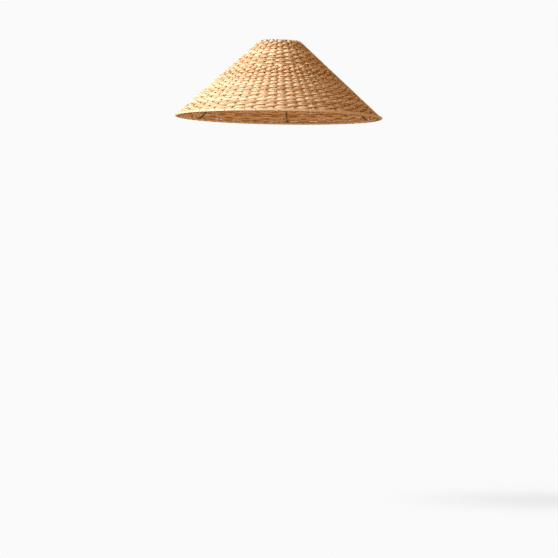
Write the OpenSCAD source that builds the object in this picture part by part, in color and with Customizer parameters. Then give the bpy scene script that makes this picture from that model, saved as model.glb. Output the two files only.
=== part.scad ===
// Woven rattan cone shade on a black wire frame.
// The origin is at the middle of the plane that the rim rests on, and +Z runs up the shade's axis.

/* [Shade] */
// Outer diameter at the rim
rim_d = 640; // [480:5:700]
// Overall height, rim to top border
shade_h = 240; // [180:2:280]
// Slope of the woven wall above the horizontal, in degrees
wall_slope = 42.5; // [40:0.5:46]

/* [Weave] */
// Number of long stakes that run from the top ring to the rim
long_stakes = 30; // [30, 36]
// Diameter of a stake
stake_d = 3.3; // [2.8:0.1:3.4]
// Diameter of a weaving strand
strand_d = 3; // [2.4:0.1:3.2]
// Height above the rim at which a short stake is added between each two long ones
short_stake_z = 150; // [110:5:160]
// Thickness of a stake's end where it is shaved flat to pass a ring
shaved_t = 1.8; // [1.4:0.1:2]

/* [Wire frame] */
// Wire diameter of the rim ring
rim_wire_d = 5; // [4:0.5:5]
// Wire diameter of the top ring
top_wire_d = 4; // [3.5:0.5:4]
// Wire diameter of a rib
rib_d = 3; // [2.5:0.5:3]
// Number of ribs
ribs = 6; // [6]
// Angle from a long stake to the rib beside it, in degrees
rib_turn = 4.2; // [4:0.1:4.4]

/* [Fitter] */
// Hole for the threaded neck of the lamp socket
fitter_bore_d = 41; // [30:0.5:44]
// Outer diameter of the fitter ring
fitter_d = 56; // [54:1:64]
// Plate thickness of the fitter ring
fitter_t = 2.5; // [2:0.5:3]
// Height of the fitter ring's underside above the rim
fitter_z = 37; // [30:1:60]
// Wire diameter of a fitter arm
arm_d = 4; // [3:0.5:4]
// Number of fitter arms
arms = 3; // [3]

/* [Borders] */
// Diameter of the cane around the outside of the rim
outer_cane_d = 6.5; // [5.5:0.5:7]
// Diameter of the cane around the inside of the rim
inner_cane_d = 4; // [3:0.5:4]
// Diameter of the cane inside the top border
top_cane_d = 4; // [3.5:0.5:4]
// Width of the flat binding cane
binding_w = 2.6; // [2:0.1:3]
// Thickness of the flat binding cane
binding_t = 0.6; // [0.5:0.1:0.8]

/* [Hidden] */
$fn = 96;
play = 0.1;
rib_play = 0.4;
wall_half = stake_d / 2 + strand_d;
stake_step = 360 / long_stakes;
rib_step = 360 / ribs;

// Rim, from the outside in: outer cane, flat stake ends, rim ring, inner cane
rim_base_z = binding_t + play;
outer_cane_r = rim_d / 2 - rim_base_z - outer_cane_d / 2;
outer_cane_z = rim_base_z + outer_cane_d / 2;
tip_r = outer_cane_r - outer_cane_d / 2 - 2 * play - shaved_t / 2;
tip_z = rim_base_z + 0.6;
rim_ring_r = tip_r - shaved_t / 2 - 2 * play - rim_wire_d / 2;
rim_ring_z = rim_base_z + rim_wire_d / 2;
inner_cane_r = rim_ring_r - rim_wire_d / 2 - inner_cane_d / 2 - 1.7;
inner_cane_z = rim_base_z + inner_cane_d / 2;

// Wall frame: x runs down the slope, z runs out of the wall, and both are 0 on the
// line of the stakes beside the rim ring
rim_stand = rim_wire_d / 2 + shaved_t / 2 + 0.5;
wall_r = rim_ring_r + rim_stand * sin(wall_slope);
wall_z = rim_ring_z + rim_stand * cos(wall_slope);

// Top ring in the wall frame
top_stand = top_wire_d / 2 + play + shaved_t / 2;
top_ring_z = shade_h - rim_base_z - top_stand - shaved_t / 2;
top_x = (wall_z - top_stand * cos(wall_slope) - top_ring_z) / sin(wall_slope);
top_ring = on_wall([top_x, -top_stand]);
top_cane_at = [top_x + 4.5, -top_stand - 7.15];
top_cane = on_wall(top_cane_at);

// Woven bands, as distances down the wall
weave_top_x = top_x + 5;
weave_split_x = (wall_z - short_stake_z) / sin(wall_slope);
band_gap = 0.2;
weave_foot_x = -3.5;
weave_foot_inner_x = -13;
stake_foot_x = -2.2;
tail_l = 15;

// Ribs and fitter
rib_off = -wall_half - rib_play - rib_d / 2;
rib_bend_x = -14;
fitter_arm_z = fitter_z + arm_d / 2 + 0.2;
arm_x = (wall_z + rib_off * cos(wall_slope) - fitter_arm_z) / sin(wall_slope);
arm_reach = on_wall([arm_x, rib_off])[0];

function two(i) = i < 10 ? str("0", i) : str(i);

// A point of the wall frame as radius and height
function on_wall(p) = [
    wall_r + p[0] * cos(wall_slope) + p[1] * sin(wall_slope),
    wall_z - p[0] * sin(wall_slope) + p[1] * cos(wall_slope)
];

// Places a shape of the wall frame on the wall at a turn about the axis
module at_wall(turn) {
    rotate([0, 0, turn])
        translate([wall_r, 0, wall_z])
            rotate([0, wall_slope, 0])
                children();
}

// Extrudes an outline of radius and height, or of the wall frame, sideways by w
module sideways(w) {
    rotate([90, 0, 0])
        linear_extrude(w, center = true)
            children();
}

// Round bar down the wall from x0 to x1, at height off above the stakes' line
module wall_bar(x0, x1, off, d) {
    translate([x0, 0, off])
        rotate([0, 90, 0])
            cylinder(h = x1 - x0, d = d);
}

// Flat strip outline from p to q, of thickness t
module strip(p, q, t) {
    step = q - p;
    translate(p)
        rotate(atan2(step[1], step[0]))
            translate([0, -t / 2])
                square([norm(step), t]);
}

// Outline of a band stretched round two circles
module band(a, ra, b, rb) {
    step = b - a;
    lean = atan2(step[1], step[0]);
    open = acos((ra - rb) / norm(step));
    translate(a) circle(ra);
    translate(b) circle(rb);
    polygon([
        a + ra * [cos(lean + open), sin(lean + open)],
        b + rb * [cos(lean + open), sin(lean + open)],
        b + rb * [cos(lean - open), sin(lean - open)],
        a + ra * [cos(lean - open), sin(lean - open)]
    ]);
}

module hoop(at, d) {
    rotate_extrude()
        translate(at)
            circle(d = d);
}

// Black powder-coated wire frame

module top_ring() {
    color("#17171a") hoop(top_ring, top_wire_d);
}

module rim_ring() {
    color("#17171a") hoop([rim_ring_r, rim_ring_z], rim_wire_d);
}

// A rib passes under the top ring, and its foot is bent out to butt on the rim ring
module rib(i) {
    reach = [-rib_bend_x, -rim_stand - rib_off];
    color("#17171a")
        at_wall((i - 1) * rib_step + rib_turn) {
            wall_bar(top_x - 1, rib_bend_x, rib_off, rib_d);
            translate([rib_bend_x, 0, rib_off]) {
                sphere(d = rib_d + play);
                rotate([0, 90 - atan2(reach[1], reach[0]), 0])
                    cylinder(h = norm(reach) - rim_wire_d / 2, d = rib_d);
            }
        }
}

module fitter_ring() {
    color("#17171a")
        translate([0, 0, fitter_z])
            difference() {
                cylinder(h = fitter_t, d = fitter_d);
                translate([0, 0, -1])
                    cylinder(h = fitter_t + 2, d = fitter_bore_d);
            }
}

// An arm runs from the edge of the fitter ring to every second rib
module fitter_arm(i) {
    turn = (i - 1) * 360 / arms + rib_turn;
    color("#17171a")
        difference() {
            rotate([0, 0, turn])
                translate([fitter_d / 2 - 1, 0, fitter_arm_z])
                    rotate([0, 90, 0])
                        cylinder(h = arm_reach - fitter_d / 2 + 1, d = arm_d);
            translate([0, 0, fitter_z - 1])
                cylinder(h = arm_d + 4, d = fitter_d);
            at_wall(turn) wall_bar(arm_x - 20, arm_x + 20, rib_off, rib_d);
        }
}

// Rattan stakes

// A stake's lower end is shaved flat and stands between the outer cane and the rim ring
module stake_tip() {
    bend = on_wall([(tip_r - wall_r) / cos(wall_slope), 0]);
    sideways(stake_d) {
        strip(on_wall([stake_foot_x - 1, 0]), bend, shaved_t);
        strip(bend, [tip_r, tip_z], shaved_t);
        translate(bend) circle(d = shaved_t);
    }
}

// The upper end of a long stake is shaved flat and folded in over the top ring
module stake_fold() {
    sideways(stake_d) {
        translate([top_x, -shaved_t / 2]) square([3.5, shaved_t]);
        translate([top_x, -2 * top_stand - shaved_t / 2]) square([tail_l, shaved_t]);
        difference() {
            translate([top_x, -top_stand]) circle(top_stand + shaved_t / 2);
            translate([top_x, -top_stand]) circle(top_stand - shaved_t / 2);
            translate([top_x, -top_stand - 10]) square([10, 20]);
        }
    }
}

module long_stake(i) {
    turn = (i - 1) * stake_step;
    color("#d9b47a") {
        at_wall(turn) {
            wall_bar(top_x + 2.5, stake_foot_x, 0, stake_d);
            stake_fold();
        }
        rotate([0, 0, turn]) stake_tip();
    }
}

module short_stakes() {
    color("#d9b47a")
        for (i = [0:long_stakes - 1]) {
            turn = (i + 0.5) * stake_step;
            at_wall(turn) wall_bar(weave_split_x + 1, stake_foot_x, 0, stake_d);
            rotate([0, 0, turn]) stake_tip();
        }
}

// Woven wall: closed bands with a channel for each stake

module weave_band(x0, x1, x1_inner, channels) {
    difference() {
        rotate_extrude()
            polygon([
                on_wall([x0, wall_half]),
                on_wall([x0, -wall_half]),
                on_wall([x1_inner, -wall_half]),
                on_wall([x1, wall_half])
            ]);
        for (i = [0:channels - 1])
            at_wall(i * 360 / channels)
                wall_bar(x0 - 2, x1 + 2, 0, stake_d + 2 * play);
    }
}

module upper_weave() {
    color("#dcb57c")
        weave_band(weave_top_x, weave_split_x, weave_split_x, long_stakes);
}

module lower_weave() {
    color("#d6ab70")
        weave_band(weave_split_x + band_gap, weave_foot_x, weave_foot_inner_x, 2 * long_stakes);
}

// Borders

module rim_cane_outer() {
    color("#ecd3a0") hoop([outer_cane_r, outer_cane_z], outer_cane_d);
}

module rim_cane_inner() {
    color("#e0bd84") hoop([inner_cane_r, inner_cane_z], inner_cane_d);
}

module top_cane() {
    color("#e0bd84") hoop(top_cane, top_cane_d);
}

// A turn of flat cane round the rim between each two stakes
module rim_binding() {
    outer = [outer_cane_r, outer_cane_z];
    inner = [inner_cane_r, inner_cane_z];
    outer_r = outer_cane_d / 2 + play;
    inner_r = inner_cane_d / 2 + play;
    color("#e6c58e")
        for (i = [0:2 * long_stakes - 1])
            rotate([0, 0, (i + 0.5) * stake_step / 2])
                sideways(binding_w)
                    difference() {
                        band(outer, outer_r + binding_t, inner, inner_r + binding_t);
                        band(outer, outer_r, inner, inner_r);
                    }
}

// A turn of flat cane round the top ring and the cane inside it, beside each long stake
module top_binding() {
    ring = [top_x, -top_stand];
    color("#e6c58e")
        for (i = [0:long_stakes - 1])
            at_wall((i + 0.7) * stake_step)
                sideways(binding_w)
                    difference() {
                        band(ring, top_wire_d / 2 + play + binding_t, top_cane_at, top_cane_d / 2 + play + binding_t);
                        band(ring, top_wire_d / 2 + play, top_cane_at, top_cane_d / 2 + play);
                    }
}

top_ring();
rim_ring();
fitter_ring();
for (i = [1:arms]) fitter_arm(i);
for (i = [1:ribs]) rib(i);
for (i = [1:long_stakes]) long_stake(i);
short_stakes();
upper_weave();
lower_weave();
rim_cane_outer();
rim_cane_inner();
rim_binding();
top_cane();
top_binding();
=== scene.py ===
import math

import bpy
import numpy as np
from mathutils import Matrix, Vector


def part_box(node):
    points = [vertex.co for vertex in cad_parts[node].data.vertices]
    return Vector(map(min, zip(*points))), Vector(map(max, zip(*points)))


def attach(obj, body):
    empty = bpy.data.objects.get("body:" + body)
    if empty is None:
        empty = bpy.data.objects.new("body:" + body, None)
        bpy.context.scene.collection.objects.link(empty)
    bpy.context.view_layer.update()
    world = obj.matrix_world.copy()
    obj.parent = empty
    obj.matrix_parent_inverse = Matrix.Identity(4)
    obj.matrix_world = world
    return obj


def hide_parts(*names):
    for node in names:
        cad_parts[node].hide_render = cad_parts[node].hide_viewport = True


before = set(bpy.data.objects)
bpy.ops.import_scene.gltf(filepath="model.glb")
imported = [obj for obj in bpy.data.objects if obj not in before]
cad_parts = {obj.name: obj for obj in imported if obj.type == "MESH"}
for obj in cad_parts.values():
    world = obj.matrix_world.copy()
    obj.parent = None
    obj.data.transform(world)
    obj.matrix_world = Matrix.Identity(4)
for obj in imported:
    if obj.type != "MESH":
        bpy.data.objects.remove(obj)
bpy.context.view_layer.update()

# ---------------------------------------------------------------------------
# The studio: a camera half a metre below the rim, as if the shade stood on its
# lamp, and turned a degree, because a shade never sits quite level. A pale
# floor at the foot of that lamp, and a low soft key light at the left.
# ---------------------------------------------------------------------------
CAMERA_TURN = math.radians(-20.5)
CAMERA_ROLL = math.radians(-1.0)
EYE_BELOW_RIM = 0.4945
EYE_DISTANCE = 7.6
EYE_TO_RIGHT = 0.0103
EYE_LENS = 159.2
FLOOR_BELOW_RIM = 1.23
FLOOR_HALF = 90.0
FLOOR_TONE = (0.70, 0.70, 0.70)
FLOOR_GLOW = (0.3615, 0.4445, 0.4815)
FLOOR_BOUNCE = (0.80, 0.60, 0.37)
BACKDROP = (0.955, 0.955, 0.955)
ROOM_LIGHT = (1.0, 0.50, 0.19)
ROOM_STRENGTH = 0.31

camera = bpy.data.objects.new("camera", bpy.data.cameras.new("camera"))
camera.data.lens = EYE_LENS
camera.data.sensor_width = 36
right = np.array([math.cos(CAMERA_TURN), math.sin(CAMERA_TURN), 0])
back = np.array([math.sin(CAMERA_TURN), -math.cos(CAMERA_TURN), 0])
camera.location = back * EYE_DISTANCE + right * EYE_TO_RIGHT - np.array([0, 0, EYE_BELOW_RIM])
camera.rotation_euler = (math.pi / 2, CAMERA_ROLL, CAMERA_TURN)
camera.data.clip_end = 200
bpy.context.collection.objects.link(camera)
bpy.context.scene.camera = camera
bpy.context.scene.view_settings.view_transform = "Standard"


def distant_light(name, turn, rise, strength, softness, colour):
    """A soft light that comes from turn degrees to the left of the camera and rise degrees up."""
    lamp = bpy.data.lights.new(name, "SUN")
    lamp.energy = strength
    lamp.angle = math.radians(softness)
    lamp.color = colour
    ob = bpy.data.objects.new(name, lamp)
    ob.rotation_euler = (math.radians(90 - rise), 0, CAMERA_TURN - math.radians(turn))
    bpy.context.collection.objects.link(ob)


distant_light("key_light", 73, 14, 4.8, 26, (0.91, 1.0, 1.15))
distant_light("top_light", 50, 45, 0.92, 16, (1.0, 0.98, 0.95))

floor_mesh = bpy.data.meshes.new("floor")
floor_mesh.from_pydata(
    [(-FLOOR_HALF, -FLOOR_HALF, -FLOOR_BELOW_RIM), (FLOOR_HALF, -FLOOR_HALF, -FLOOR_BELOW_RIM),
     (FLOOR_HALF, FLOOR_HALF, -FLOOR_BELOW_RIM), (-FLOOR_HALF, FLOOR_HALF, -FLOOR_BELOW_RIM)],
    [], [(0, 1, 2, 3)])
floor = bpy.data.objects.new("floor", floor_mesh)
bpy.context.collection.objects.link(floor)
paper = bpy.data.materials.new("pale_floor")
paper.use_nodes = True
nodes, links = paper.node_tree.nodes, paper.node_tree.links
sheet = nodes["Principled BSDF"]
sheet.inputs["Roughness"].default_value = 1.0
sheet.inputs["Specular IOR Level"].default_value = 0.0
sheet.inputs["Emission Strength"].default_value = 1.0
seen = nodes.new("ShaderNodeLightPath")
for socket, unseen, shown in (("Base Color", FLOOR_BOUNCE, FLOOR_TONE),
                              ("Emission Color", (0, 0, 0), FLOOR_GLOW)):
    pick = nodes.new("ShaderNodeMix")
    pick.data_type = "RGBA"
    colours = [s for s in pick.inputs if s.type == "RGBA"]
    colours[0].default_value = (*unseen, 1)
    colours[1].default_value = (*shown, 1)
    links.new(seen.outputs["Is Camera Ray"], pick.inputs["Factor"])
    links.new([s for s in pick.outputs if s.type == "RGBA"][0], sheet.inputs[socket])
floor_mesh.materials.append(paper)

room = bpy.data.worlds.new("pale_room")
room.use_nodes = True
bpy.context.scene.world = room
nodes, links = room.node_tree.nodes, room.node_tree.links
seen = nodes.new("ShaderNodeLightPath")
shown = nodes.new("ShaderNodeBackground")
shown.inputs["Color"].default_value = (*BACKDROP, 1)
lit = nodes["Background"]
lit.inputs["Color"].default_value = (*ROOM_LIGHT, 1)
lit.inputs["Strength"].default_value = ROOM_STRENGTH
either = nodes.new("ShaderNodeMixShader")
links.new(seen.outputs["Is Camera Ray"], either.inputs["Fac"])
links.new(lit.outputs[0], either.inputs[1])
links.new(shown.outputs[0], either.inputs[2])
links.new(either.outputs[0], nodes["World Output"].inputs["Surface"])

# ---------------------------------------------------------------------------
# Wire frame: two rings, six ribs, and a ring fitter on three arms, of steel
# wire and plate, spot welded and powder coated black.
# ---------------------------------------------------------------------------


def hoop_of(node):
    """The radius, height and wire diameter of a ring node."""
    low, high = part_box(node)
    wire = high[2] - low[2]
    return high[0] - wire / 2, (high[2] + low[2]) / 2, wire


def node_group(name, wanted, given):
    """A new shader node group with its inputs, given as (name, type, value), and outputs."""
    group = bpy.data.node_groups.new(name, "ShaderNodeTree")
    for label, kind, value in wanted:
        made = group.interface.new_socket(label, in_out="INPUT", socket_type=kind)
        made.default_value = value
    for label, kind in given:
        group.interface.new_socket(label, in_out="OUTPUT", socket_type=kind)
    return group, group.nodes.new("NodeGroupInput"), group.nodes.new("NodeGroupOutput")


coat = bpy.data.materials.new("black_powder_coat")
coat.use_nodes = True
nodes, links = coat.node_tree.nodes, coat.node_tree.links
skin = nodes["Principled BSDF"]
skin.inputs["Roughness"].default_value = 0.42
place = nodes.new("ShaderNodeTexCoord")
pebble = nodes.new("ShaderNodeTexNoise")
pebble.inputs["Scale"].default_value = 900
pebble.inputs["Detail"].default_value = 2
links.new(place.outputs["Object"], pebble.inputs["Vector"])
dust = nodes.new("ShaderNodeValToRGB")
dust.color_ramp.elements[0].position, dust.color_ramp.elements[1].position = 0.35, 0.8
dust.color_ramp.elements[0].color = (0.009, 0.009, 0.010, 1)
dust.color_ramp.elements[1].color = (0.022, 0.021, 0.020, 1)
links.new(pebble.outputs["Fac"], dust.inputs["Fac"])
links.new(dust.outputs["Color"], skin.inputs["Base Color"])
raised = nodes.new("ShaderNodeBump")
raised.inputs["Strength"].default_value = 0.25
raised.inputs["Distance"].default_value = 0.0002
links.new(pebble.outputs["Fac"], raised.inputs["Height"])
links.new(raised.outputs["Normal"], skin.inputs["Normal"])

frame_nodes = [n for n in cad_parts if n.startswith(("top_ring", "rim_ring", "rib_", "fitter_"))]
for name in frame_nodes:
    wire_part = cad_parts[name]
    wire_part.data.materials.clear()
    wire_part.data.materials.append(coat)

# ---------------------------------------------------------------------------
# Long stakes: thirty rods of peeled rattan, one to each ridge of the wall. The
# upper end is shaved flat and folded in over the top ring, and the lower end is
# shaved flat and stands between the outer cane and the rim ring.
# ---------------------------------------------------------------------------
WALL_SLOPE = math.radians(42.5)
STAKE_D = 0.0033
SHAVED_T = 0.0018
LONG_STAKES = 30
rim_r, rim_z, rim_wire = hoop_of("rim_ring")
top_r, top_z, top_wire = hoop_of("top_ring")
outer_r, outer_z, outer_d = hoop_of("rim_cane_outer")
down = np.array([math.cos(WALL_SLOPE), -math.sin(WALL_SLOPE)])
out = np.array([math.sin(WALL_SLOPE), math.cos(WALL_SLOPE)])
foot = np.array([rim_r, rim_z]) + (rim_wire / 2 + SHAVED_T / 2 + 0.0005) * out
top_x = float((np.array([top_r, top_z]) - foot) @ down)
top_stand = -float((np.array([top_r, top_z]) - foot) @ out)
tip_r = outer_r - outer_d / 2 - 0.0002 - SHAVED_T / 2


def on_wall(x, off):
    """Radius and height of points x down the wall from the rim ring and off out of the stakes' line."""
    x, off = np.broadcast_arrays(np.asarray(x, float), np.asarray(off, float))
    return foot + x[..., None] * down + off[..., None] * out


def swing(rz, turn):
    """Points in the CAD frame from radius and height, and turn about the axis."""
    rz, turn = np.asarray(rz, float), np.asarray(turn, float)
    return np.stack([rz[..., 0] * np.cos(turn), rz[..., 0] * np.sin(turn), rz[..., 1] + 0 * turn], -1)


def unit(v):
    return v / np.maximum(np.linalg.norm(v, axis=-1, keepdims=True), 1e-12)


def sweep(path, side, half_w, half_t, sides=8, square=1.0, tone=0.5, loop=False):
    """One rod along path: its rings of points, and what its surface needs. Side is across the rod,
    in the direction of its width, and square under 1 makes its section boxier."""
    path = np.asarray(path, float)
    along = np.roll(path, -1, 0) - np.roll(path, 1, 0) if loop else np.gradient(path, axis=0)
    along = unit(along)
    side = np.broadcast_to(side, path.shape)
    side = unit(side - (side * along).sum(-1, keepdims=True) * along)
    face = np.cross(along, side)
    turn = np.linspace(0, 2 * math.pi, sides, endpoint=False)
    c, s = np.cos(turn), np.sin(turn)
    square = np.broadcast_to(square, len(path))[:, None]
    c = np.sign(c) * np.abs(c) ** square
    s = np.sign(s) * np.abs(s) ** square
    w = np.broadcast_to(half_w, len(path))[:, None] * c
    t = np.broadcast_to(half_t, len(path))[:, None] * s
    rings = path[:, None] + side[:, None] * w[..., None] + face[:, None] * t[..., None]
    steps = np.linalg.norm(np.diff(path, axis=0), axis=1)
    return {"rings": rings, "run": np.concatenate([[0], np.cumsum(steps)]), "tone": tone, "loop": loop}


def rods_mesh(name, rods):
    """One mesh of many rods, with flat ends, a UV map of run along and turn round each rod, and
    the tone of each rod as an attribute."""
    points, corners, starts, maps, tones = [], [], [], [], []
    count = corner_count = 0
    for rod in rods:
        rings, run, loop = rod["rings"], rod["run"], rod["loop"]
        n, k = rings.shape[:2]
        index = count + np.arange(n * k).reshape(n, k)
        a = np.arange(n if loop else n - 1)
        b = (a + 1) % n
        right = (np.arange(k) + 1) % k
        quads = np.stack([index[a], index[a][:, right], index[b][:, right], index[b]], -1).reshape(-1, 4)
        close = run[-1] + np.linalg.norm(rings[0].mean(0) - rings[-1].mean(0))
        run_b = np.append(run, close)[a + 1]
        u = np.repeat(np.stack([run[a], run[a], run_b, run_b], -1)[:, None], k, 1)
        v0, v1 = np.arange(k) / k, (np.arange(k) + 1) / k
        v = np.broadcast_to(np.stack([v0, v1, v1, v0], -1)[None], u.shape)
        corners.append(quads.ravel())
        maps.append(np.stack([u, v], -1).reshape(-1, 2))
        starts.append(corner_count + 4 * np.arange(len(quads)))
        corner_count += 4 * len(quads)
        if not loop:
            for ring, far in ((index[0][::-1], run[0]), (index[-1], run[-1])):
                corners.append(ring)
                maps.append(np.stack([np.full(k, far), np.arange(k) / k], -1))
                starts.append([corner_count])
                corner_count += k
        points.append(rings.reshape(-1, 3))
        tones.append(np.broadcast_to(np.asarray(rod["tone"], float).reshape(-1, 1), (n, k)).ravel())
        count += n * k
    mesh = bpy.data.meshes.new(name)
    mesh.vertices.add(count)
    mesh.vertices.foreach_set("co", np.concatenate(points).astype(np.float32).ravel())
    mesh.loops.add(corner_count)
    mesh.loops.foreach_set("vertex_index", np.concatenate(corners).astype(np.int32))
    start = np.concatenate(starts).astype(np.int32)
    mesh.polygons.add(len(start))
    mesh.polygons.foreach_set("loop_start", start)
    mesh.update(calc_edges=True)
    mesh.uv_layers.new(name="Rod").data.foreach_set("uv", np.concatenate(maps).astype(np.float32).ravel())
    tone = mesh.attributes.new("tone", "FLOAT", "POINT")
    tone.data.foreach_set("value", np.concatenate(tones).astype(np.float32))
    mesh.shade_smooth()
    return mesh


def rattan_piece(name, rods, material, replaced):
    """A piece of one or more rods that rides on the shade and stands for its CAD nodes."""
    piece = bpy.data.objects.new(name, rods_mesh(name, rods))
    piece.data.materials.append(material)
    bpy.context.collection.objects.link(piece)
    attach(piece, "root")
    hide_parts(*replaced)


def peeled_rattan():
    """Node group of a peeled rattan surface: fine fibres and pores along the rod, a slow drift of
    colour along its length, and darker stretches."""
    group, given, made = node_group(
        "peeled_rattan",
        [("Pale", "NodeSocketColor", (0.84, 0.62, 0.35, 1)),
         ("Deep", "NodeSocketColor", (0.50, 0.25, 0.085, 1)),
         ("Lean", "NodeSocketFloat", 0.5),
         ("Spread", "NodeSocketFloat", 1.0)],
        [("Color", "NodeSocketColor"), ("Roughness", "NodeSocketFloat"), ("Height", "NodeSocketFloat")])
    nodes, links = group.nodes, group.links

    def maths(operation, a, b, clamp=False):
        node = nodes.new("ShaderNodeMath")
        node.operation, node.use_clamp = operation, clamp
        for socket, value in zip(node.inputs, (a, b)):
            if isinstance(value, (int, float)):
                socket.default_value = value
            else:
                links.new(value, socket)
        return node.outputs[0]

    def noise(u_scale, v_scale, detail, z):
        spot = nodes.new("ShaderNodeCombineXYZ")
        links.new(maths("MULTIPLY", uv.outputs["X"], u_scale), spot.inputs["X"])
        links.new(maths("MULTIPLY", around, v_scale), spot.inputs["Y"])
        links.new(maths("MULTIPLY", tone, z), spot.inputs["Z"])
        tex = nodes.new("ShaderNodeTexNoise")
        tex.inputs["Scale"].default_value = 1
        tex.inputs["Detail"].default_value = detail
        tex.inputs["Roughness"].default_value = 0.6
        links.new(spot.outputs[0], tex.inputs["Vector"])
        return tex.outputs["Fac"]

    rod_map = nodes.new("ShaderNodeUVMap")
    rod_map.uv_map = "Rod"
    uv = nodes.new("ShaderNodeSeparateXYZ")
    links.new(rod_map.outputs[0], uv.inputs[0])
    own = nodes.new("ShaderNodeAttribute")
    own.attribute_name = "tone"
    tone = own.outputs["Fac"]
    around = maths("PINGPONG", uv.outputs["Y"], 0.5)
    fibre = noise(35, 34, 3, 91)
    drift = noise(5.5, 0.6, 2, 57)
    patch = noise(26, 2.5, 2, 133)
    lean = given.outputs["Lean"]
    for cause, weight in ((tone, 1.0), (drift, 0.9), (patch, 0.55), (fibre, 0.4)):
        lean = maths("ADD", lean, maths("MULTIPLY", maths("SUBTRACT", cause, 0.5), weight))
    lean = maths("SUBTRACT", lean, 0.5)
    lean = maths("ADD", maths("MULTIPLY", lean, given.outputs["Spread"]), 0.5, True)
    blend = nodes.new("ShaderNodeMix")
    blend.data_type = "RGBA"
    links.new(lean, blend.inputs["Factor"])
    links.new(given.outputs["Pale"], blend.inputs["A"])
    links.new(given.outputs["Deep"], blend.inputs["B"])
    blend_out = [s for s in blend.outputs if s.type == "RGBA"][0]
    pores = maths("GREATER_THAN", noise(240, 60, 1, 11), 0.69)
    pored = nodes.new("ShaderNodeMix")
    pored.data_type = "RGBA"
    pored.blend_type = "MULTIPLY"
    links.new(maths("MULTIPLY", pores, 0.45), pored.inputs["Factor"])
    links.new(blend_out, [s for s in pored.inputs if s.name == "A" and s.type == "RGBA"][0])
    [s for s in pored.inputs if s.name == "B" and s.type == "RGBA"][0].default_value = (0.55, 0.38, 0.24, 1)
    links.new([s for s in pored.outputs if s.type == "RGBA"][0], made.inputs["Color"])
    links.new(maths("ADD", maths("MULTIPLY", fibre, 0.3), 0.4), made.inputs["Roughness"])
    links.new(maths("SUBTRACT", fibre, maths("MULTIPLY", pores, 0.4)), made.inputs["Height"])
    return group


rattan_group = peeled_rattan()


def rattan_material(name, pale, deep, lean, spread, relief):
    """Satin natural rattan. Lean is how far it goes to its deep colour, and relief is the fibres' height."""
    material = bpy.data.materials.new(name)
    material.use_nodes = True
    nodes, links = material.node_tree.nodes, material.node_tree.links
    surface = nodes["Principled BSDF"]
    surface.inputs["Specular IOR Level"].default_value = 0.45
    body = nodes.new("ShaderNodeGroup")
    body.node_tree = rattan_group
    body.inputs["Pale"].default_value = (*pale, 1)
    body.inputs["Deep"].default_value = (*deep, 1)
    body.inputs["Lean"].default_value = lean
    body.inputs["Spread"].default_value = spread
    raised = nodes.new("ShaderNodeBump")
    raised.inputs["Strength"].default_value = 0.5
    raised.inputs["Distance"].default_value = relief
    links.new(body.outputs["Color"], surface.inputs["Base Color"])
    links.new(body.outputs["Roughness"], surface.inputs["Roughness"])
    links.new(body.outputs["Height"], raised.inputs["Height"])
    links.new(raised.outputs["Normal"], surface.inputs["Normal"])
    return material


stake_finish = rattan_material("stake_rattan", (0.84, 0.62, 0.37), (0.54, 0.30, 0.12), 0.42, 0.9, 0.00012)
stake_chance = np.random.default_rng(7)
stake_lean = stake_chance.normal(0, math.radians(0.25), 2 * LONG_STAKES)
stake_turns = np.arange(2 * LONG_STAKES) * math.pi / LONG_STAKES + stake_lean
FOOT_X = -0.0024
TAIL_L = 0.015
SWAY = 0.0006
WALL_POINTS = 46
FOLD_POINTS = 12
TAIL_POINTS = 6


def foot_path():
    """The shaved lower end: down the slope, then upright between the outer cane and the rim ring."""
    bend_x = (tip_r - foot[0]) / math.cos(WALL_SLOPE)
    low = outer_z - outer_d / 2 + 0.0006
    bend = on_wall(bend_x, 0)
    slope = on_wall(np.linspace(FOOT_X, bend_x - 0.0008, 4), 0)
    upright = np.stack([np.full(4, tip_r), np.linspace(bend[1] - 0.0009, low, 4)], -1)
    return np.concatenate([slope, upright])


def stake_rod(turn, head_rz, head_thin, wall_x, chance):
    """A rod from its head, shaved as head_thin says, down the wall from wall_x to its shaved foot."""
    wall = on_wall(np.linspace(wall_x, FOOT_X - 0.002, WALL_POINTS), 0)
    rz = np.concatenate([head_rz, wall, foot_path()])
    foot_n = len(foot_path())
    thin = np.concatenate([head_thin, np.zeros(len(wall)), np.linspace(0.5, 1, foot_n) ** 0.3])
    wave = chance.normal(0, 1, 6)
    reach = np.linspace(0, 1, len(rz))
    sway = sum(w * np.sin((i + 1) * math.pi * reach) / (i + 1) for i, w in enumerate(wave))
    turns = turn + SWAY * sway * (1 - thin) / np.maximum(rz[:, 0], 0.05)
    path = swing(rz, turns)
    across = np.stack([-np.sin(turns), np.cos(turns), 0 * turns], -1)
    half_t = STAKE_D / 2 * (1 - thin) + SHAVED_T / 2 * thin
    half_w = STAKE_D / 2 * (1 + 0.12 * thin)
    return sweep(path, across, half_w, half_t, 10, 1 - 0.35 * thin, chance.random())


fold_turn = np.linspace(-math.pi / 2, math.pi / 2, FOLD_POINTS)
fold_x = top_x - top_stand * np.cos(fold_turn)
fold_off = -top_stand + top_stand * np.sin(fold_turn)
tail_x = np.linspace(top_x + TAIL_L, top_x + 0.001, TAIL_POINTS)
fold_rz = np.concatenate([on_wall(tail_x, -2 * top_stand), on_wall(fold_x, fold_off)])
fold_thin = np.ones(TAIL_POINTS + FOLD_POINTS)
for i in range(LONG_STAKES):
    rod = stake_rod(stake_turns[2 * i], fold_rz, fold_thin, top_x + 0.003, stake_chance)
    rattan_piece(f"long_stake_{i + 1:02d}", [rod], stake_finish, [f"stake_{i + 1:02d}"])

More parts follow.
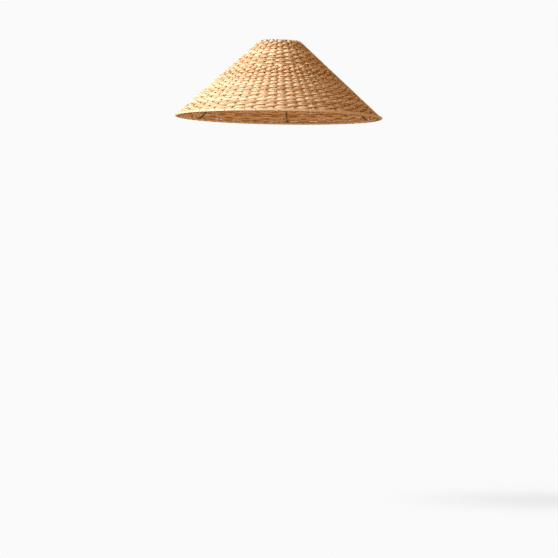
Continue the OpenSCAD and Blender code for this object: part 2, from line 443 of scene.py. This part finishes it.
# ---------------------------------------------------------------------------
# Short stakes: thirty more rods, each pushed in between two long ones where the
# gap has grown too wide to weave, with the same shaved foot.
# ---------------------------------------------------------------------------
split_x = (foot[1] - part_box("short_stakes")[1][2]) / math.sin(WALL_SLOPE)
short_rods = []
for i in range(LONG_STAKES):
    head = on_wall(np.array([split_x + 0.001, split_x + 0.0025]), 0)
    head_thin = np.array([0.6, 0.2])
    short_rods.append(stake_rod(stake_turns[2 * i + 1], head, head_thin, split_x + 0.004, stake_chance))
rattan_piece("short_stakes", short_rods, stake_finish, ["short_stakes"])

# ---------------------------------------------------------------------------
# Woven wall: rows of three rattan strands side by side, woven over one stake
# and under the next, each row the other way from the row above. Strands are
# joined behind a stake, and no two have quite the same colour.
# ---------------------------------------------------------------------------
ROW_PITCH = 0.0092
STRANDS_IN_ROW = 3
STRAND_T = 0.0024
STRAND_W = 0.0037
STRAND_GAP = 0.003 * 1.015
HUMP_SWELL = 0.3
LEAN_DOWN = 0.0007
PROUD = 0.0008
SHOVE = 0.0005
OWN_SHIFT = 0.0003
SLOW_DRIFT = 0.00025
OPEN_GAP = 0.026
UPPER_FAN = 0.72
LOWER_FAN = 0.66
LAST_FAN = 0.35
UPPER_STEPS = 10
LOWER_STEPS = 8
weave_finish = rattan_material("woven_rattan", (0.90, 0.70, 0.43), (0.56, 0.28, 0.09), 0.405, 1.5, 0.00010)
weave_chance = np.random.default_rng(23)
reach_out = STAKE_D / 2 + STRAND_T / 2 + 0.00005


def row_rods(x, turns, flip, steps, fan, chance):
    """The strands of one row, x down the wall, round stakes at turns. Flip swaps over and under, and
    fan is how far the side strands spread where the row goes over a stake."""
    count = len(turns)
    index = np.arange(-1, count + 2)
    ring = np.concatenate([[turns[-1] - 2 * math.pi], turns, turns[:2] + 2 * math.pi])
    shove = chance.normal(0, SHOVE, count)
    splay = fan * (1 + np.clip(chance.normal(0, 0.18, count), -0.4, 0.4))
    drift = chance.normal(0, SLOW_DRIFT, 3)
    rods = []
    loose = min(1.0, on_wall(x, 0)[0] * 2 * math.pi / count / OPEN_GAP)
    proud = PROUD * chance.choice([-1, 1])
    for strand in range(STRANDS_IN_ROW):
        joint = 2 * chance.integers(0, count // 2) + (1 if flip > 0 else 0)
        place = joint + np.linspace(0.02, count - 0.02, count * steps + 1)
        turn = np.interp(place % count, index, ring)
        over = np.cos(math.pi * place) * flip
        near = np.round(place).astype(int) % count
        peak = np.abs(over) ** 2
        side = strand - (STRANDS_IN_ROW - 1) / 2
        own = chance.normal(0, OWN_SHIFT * loose, count)
        lift = reach_out * (over - 0.06 * np.cos(3 * math.pi * place) * flip)
        lift = lift * (1 + chance.normal(0, 0.03, count)[near] * peak)
        lift = lift + (proud if side == 0 else 0) * (1 - peak)
        spread = STRAND_GAP * side * (1 + splay[near] * peak) + LEAN_DOWN * over
        slow = sum(d * np.sin((k + 2) * turn + 2.1 * k) for k, d in enumerate(drift))
        down_wall = x + spread + (shove + own)[near] * peak + slow
        rz = on_wall(down_wall, lift)
        path = swing(rz, turn)
        out_of_wall = swing(np.broadcast_to(out, rz.shape), turn)
        size = 1 + chance.normal(0, 0.03)
        wide = STRAND_W / 2 * size * (1 + HUMP_SWELL * peak)
        rods.append(sweep(path, out_of_wall, STRAND_T / 2 * size, wide, 8, 1.0, chance.random()))
    return rods


def weave_band(x0, x1, turns, steps, fan, first):
    """The rows between x0 and x1 down the wall, each a list of rods. First is the first row's number."""
    rows = round((x1 - x0) / ROW_PITCH)
    pitch = (x1 - x0) / rows
    return [row_rods(x0 + (r + 0.5) * pitch, turns, 1 if (first + r) % 2 else -1, steps, fan, weave_chance)
            for r in range(rows)]


upper_x0, upper_x1 = top_x + 0.006, split_x - 0.001
upper_rows = weave_band(upper_x0, upper_x1, stake_turns[::2], UPPER_STEPS, UPPER_FAN, 0)
lower_x1 = -0.0068
lower_rows = weave_band(upper_x1, lower_x1 - ROW_PITCH, stake_turns, LOWER_STEPS, LOWER_FAN, len(upper_rows))
last_x = lower_x1 - ROW_PITCH / 2
last_flip = 1 if (len(upper_rows) + len(lower_rows)) % 2 else -1
lower_rows.append(row_rods(last_x, stake_turns, last_flip, LOWER_STEPS, LAST_FAN, weave_chance))
rattan_piece("upper_weave", sum(upper_rows, []), weave_finish, ["upper_weave"])
thirds = np.array_split(np.arange(len(lower_rows)), 3)
for i, third in enumerate(thirds):
    rods = sum((lower_rows[r] for r in third), [])
    rattan_piece(f"lower_weave_{i + 1}", rods, weave_finish, ["lower_weave"])

# ---------------------------------------------------------------------------
# Closing pair: two strands twined round every stake just above the rim, one
# over where the other goes under, to lock the last row and fill the gap.
# ---------------------------------------------------------------------------
PAIR_W = 0.0028
PAIR_X = -0.0044
PAIR_SLANT = 0.0018
PAIR_DROP = 0.0014
pair_count = 2 * LONG_STAKES
pair_place = np.linspace(0.02, pair_count - 0.02, pair_count * LOWER_STEPS + 1)
ring_turns = np.append(stake_turns, stake_turns[0] + 2 * math.pi)
pair_turn = np.interp(pair_place, np.arange(pair_count + 1), ring_turns)
pair_rods = []
for flip in (-1, 1):
    over = np.cos(math.pi * pair_place) * flip
    rz = on_wall(PAIR_X + PAIR_SLANT * over + PAIR_DROP * over ** 2, reach_out * over)
    out_of_wall = swing(np.broadcast_to(out, rz.shape), pair_turn)
    path = swing(rz, pair_turn)
    pair_rods.append(sweep(path, out_of_wall, STRAND_T / 2, PAIR_W / 2, 8, 1.0, weave_chance.random()))
rattan_piece("closing_pair", pair_rods, weave_finish, ["lower_weave"])

# ---------------------------------------------------------------------------
# Border canes: a thick pale cane round the outside of the rim, a thinner one
# inside the rim ring, and one that clamps the stakes' tails inside the top.
# Each is one length of cane, joined on a slant, and is made as a closed hoop.
# ---------------------------------------------------------------------------
cane_finish = rattan_material("border_cane", (0.95, 0.80, 0.56), (0.70, 0.46, 0.22), 0.3, 0.7, 0.00014)
cane_chance = np.random.default_rng(5)
CANE_RISE = {"rim_cane_outer": 0.0007, "rim_cane_inner": 0.0009, "top_cane": 0.0}


def cane_hoop(node, steps):
    """A hoop of cane, a little out of round, that stands CANE_RISE above its CAD place."""
    r, z, d = hoop_of(node)
    turn = np.linspace(0, 2 * math.pi, steps, endpoint=False)
    wave = cane_chance.normal(0, 0.00012, (2, 5))
    bob = [sum(w * np.sin((3 * k + 2) * turn + k) for k, w in enumerate(row)) for row in wave]
    rz = np.stack([r + bob[0], z + CANE_RISE[node] + 0.5 * bob[1]], -1)
    thick = d / 2 * (0.97 + 0.015 * np.sin(7 * turn) + 0.01 * np.sin(19 * turn + 1))
    up = np.tile([0.0, 0.0, 1.0], (steps, 1))
    return sweep(swing(rz, turn), up, thick, thick, 14, 1.0, cane_chance.random(), loop=True)


for node, steps in (("rim_cane_outer", 360), ("rim_cane_inner", 300), ("top_cane", 120)):
    rattan_piece(node, [cane_hoop(node, steps)], cane_finish, [node])

# ---------------------------------------------------------------------------
# Bindings: one long flat strip of cane at each border. It goes round the canes
# and the ring between each two stakes, and slants on to the next gap inside.
# ---------------------------------------------------------------------------
BINDING_W = 0.0026
BINDING_T = 0.0006
BINDING_PLAY = 0.0001
TOP_BINDING_TURN = math.radians(8.4)
binding_finish = rattan_material("binding_cane", (0.92, 0.75, 0.50), (0.64, 0.40, 0.18), 0.35, 0.8, 0.00008)
inner_r, inner_z, inner_d = hoop_of("rim_cane_inner")
cane_r, cane_z, cane_d = hoop_of("top_cane")


def belt(rounds, points):
    """The outline, of radius and height, of a belt pulled tight round canes given as middle and half width.
    It starts on the outer side, and runs over the top first."""
    turn = np.linspace(0, 2 * math.pi, 72, endpoint=False)
    dots = np.concatenate([np.array(c) + h * np.stack([np.cos(turn), np.sin(turn)], -1) for c, h in rounds])
    dots = dots[np.lexsort((dots[:, 1], dots[:, 0]))]
    hull = []
    for half in (dots, dots[::-1]):
        side = []
        for dot in half:
            while len(side) > 1:
                ahead, to_dot = side[-1] - side[-2], dot - side[-1]
                if ahead[0] * to_dot[1] - ahead[1] * to_dot[0] > 0:
                    break
                side.pop()
            side.append(dot)
        hull += side[:-1]
    hull = np.array(hull)
    hull = np.roll(hull, -int(np.argmax(hull[:, 0])), 0)
    hull = np.concatenate([hull, hull[:1]])
    run = np.concatenate([[0], np.cumsum(np.linalg.norm(np.diff(hull, axis=0), axis=1))])
    at = np.linspace(0, run[-1], points, endpoint=False)
    return np.stack([np.interp(at, run, hull[:, 0]), np.interp(at, run, hull[:, 1])], -1)


def binding_rod(outline, turns, chance):
    """One strip that goes round the outline once at each turn, and moves on along its middle stretch."""
    n = len(outline)
    part = np.arange(n) / n
    travel = np.clip((part - 0.36) / 0.28, 0, 1)
    travel = travel * travel * (3 - 2 * travel)
    rz, turn = [], []
    for i, here in enumerate(turns):
        after = turns[(i + 1) % len(turns)] + (2 * math.pi if i + 1 == len(turns) else 0)
        rz.append(outline)
        turn.append(here + (after - here) * travel)
    rz, turn = np.concatenate(rz), np.concatenate(turn)
    path = swing(rz, turn)
    outward = swing(unit(rz - outline.mean(0)), turn)
    along = unit(np.roll(path, -1, 0) - np.roll(path, 1, 0))
    side = np.cross(outward, along)
    return sweep(path, side, BINDING_W / 2, BINDING_T / 2, 8, 0.55, chance.random(), loop=True)


next_turns = np.roll(stake_turns, -1)
next_turns[-1] += 2 * math.pi
mid_turns = stake_turns + (next_turns - stake_turns) * 0.5
lift = BINDING_PLAY + BINDING_T / 2
rim_outline = belt([((outer_r, outer_z + CANE_RISE["rim_cane_outer"]), outer_d / 2 + lift),
                    ((rim_r, rim_z), rim_wire / 2 + lift),
                    ((inner_r, inner_z + CANE_RISE["rim_cane_inner"]), inner_d / 2 + lift)], 44)
rim_binding = binding_rod(rim_outline, mid_turns, cane_chance)
rattan_piece("rim_binding", [rim_binding], binding_finish, ["rim_binding"])
top_outline = belt([((top_r, top_z), top_wire / 2 + lift), ((cane_r, cane_z), cane_d / 2 + lift)], 30)
top_turns = stake_turns[::2] + TOP_BINDING_TURN
top_binding = binding_rod(top_outline, top_turns, cane_chance)
rattan_piece("top_binding", [top_binding], binding_finish, ["top_binding"])
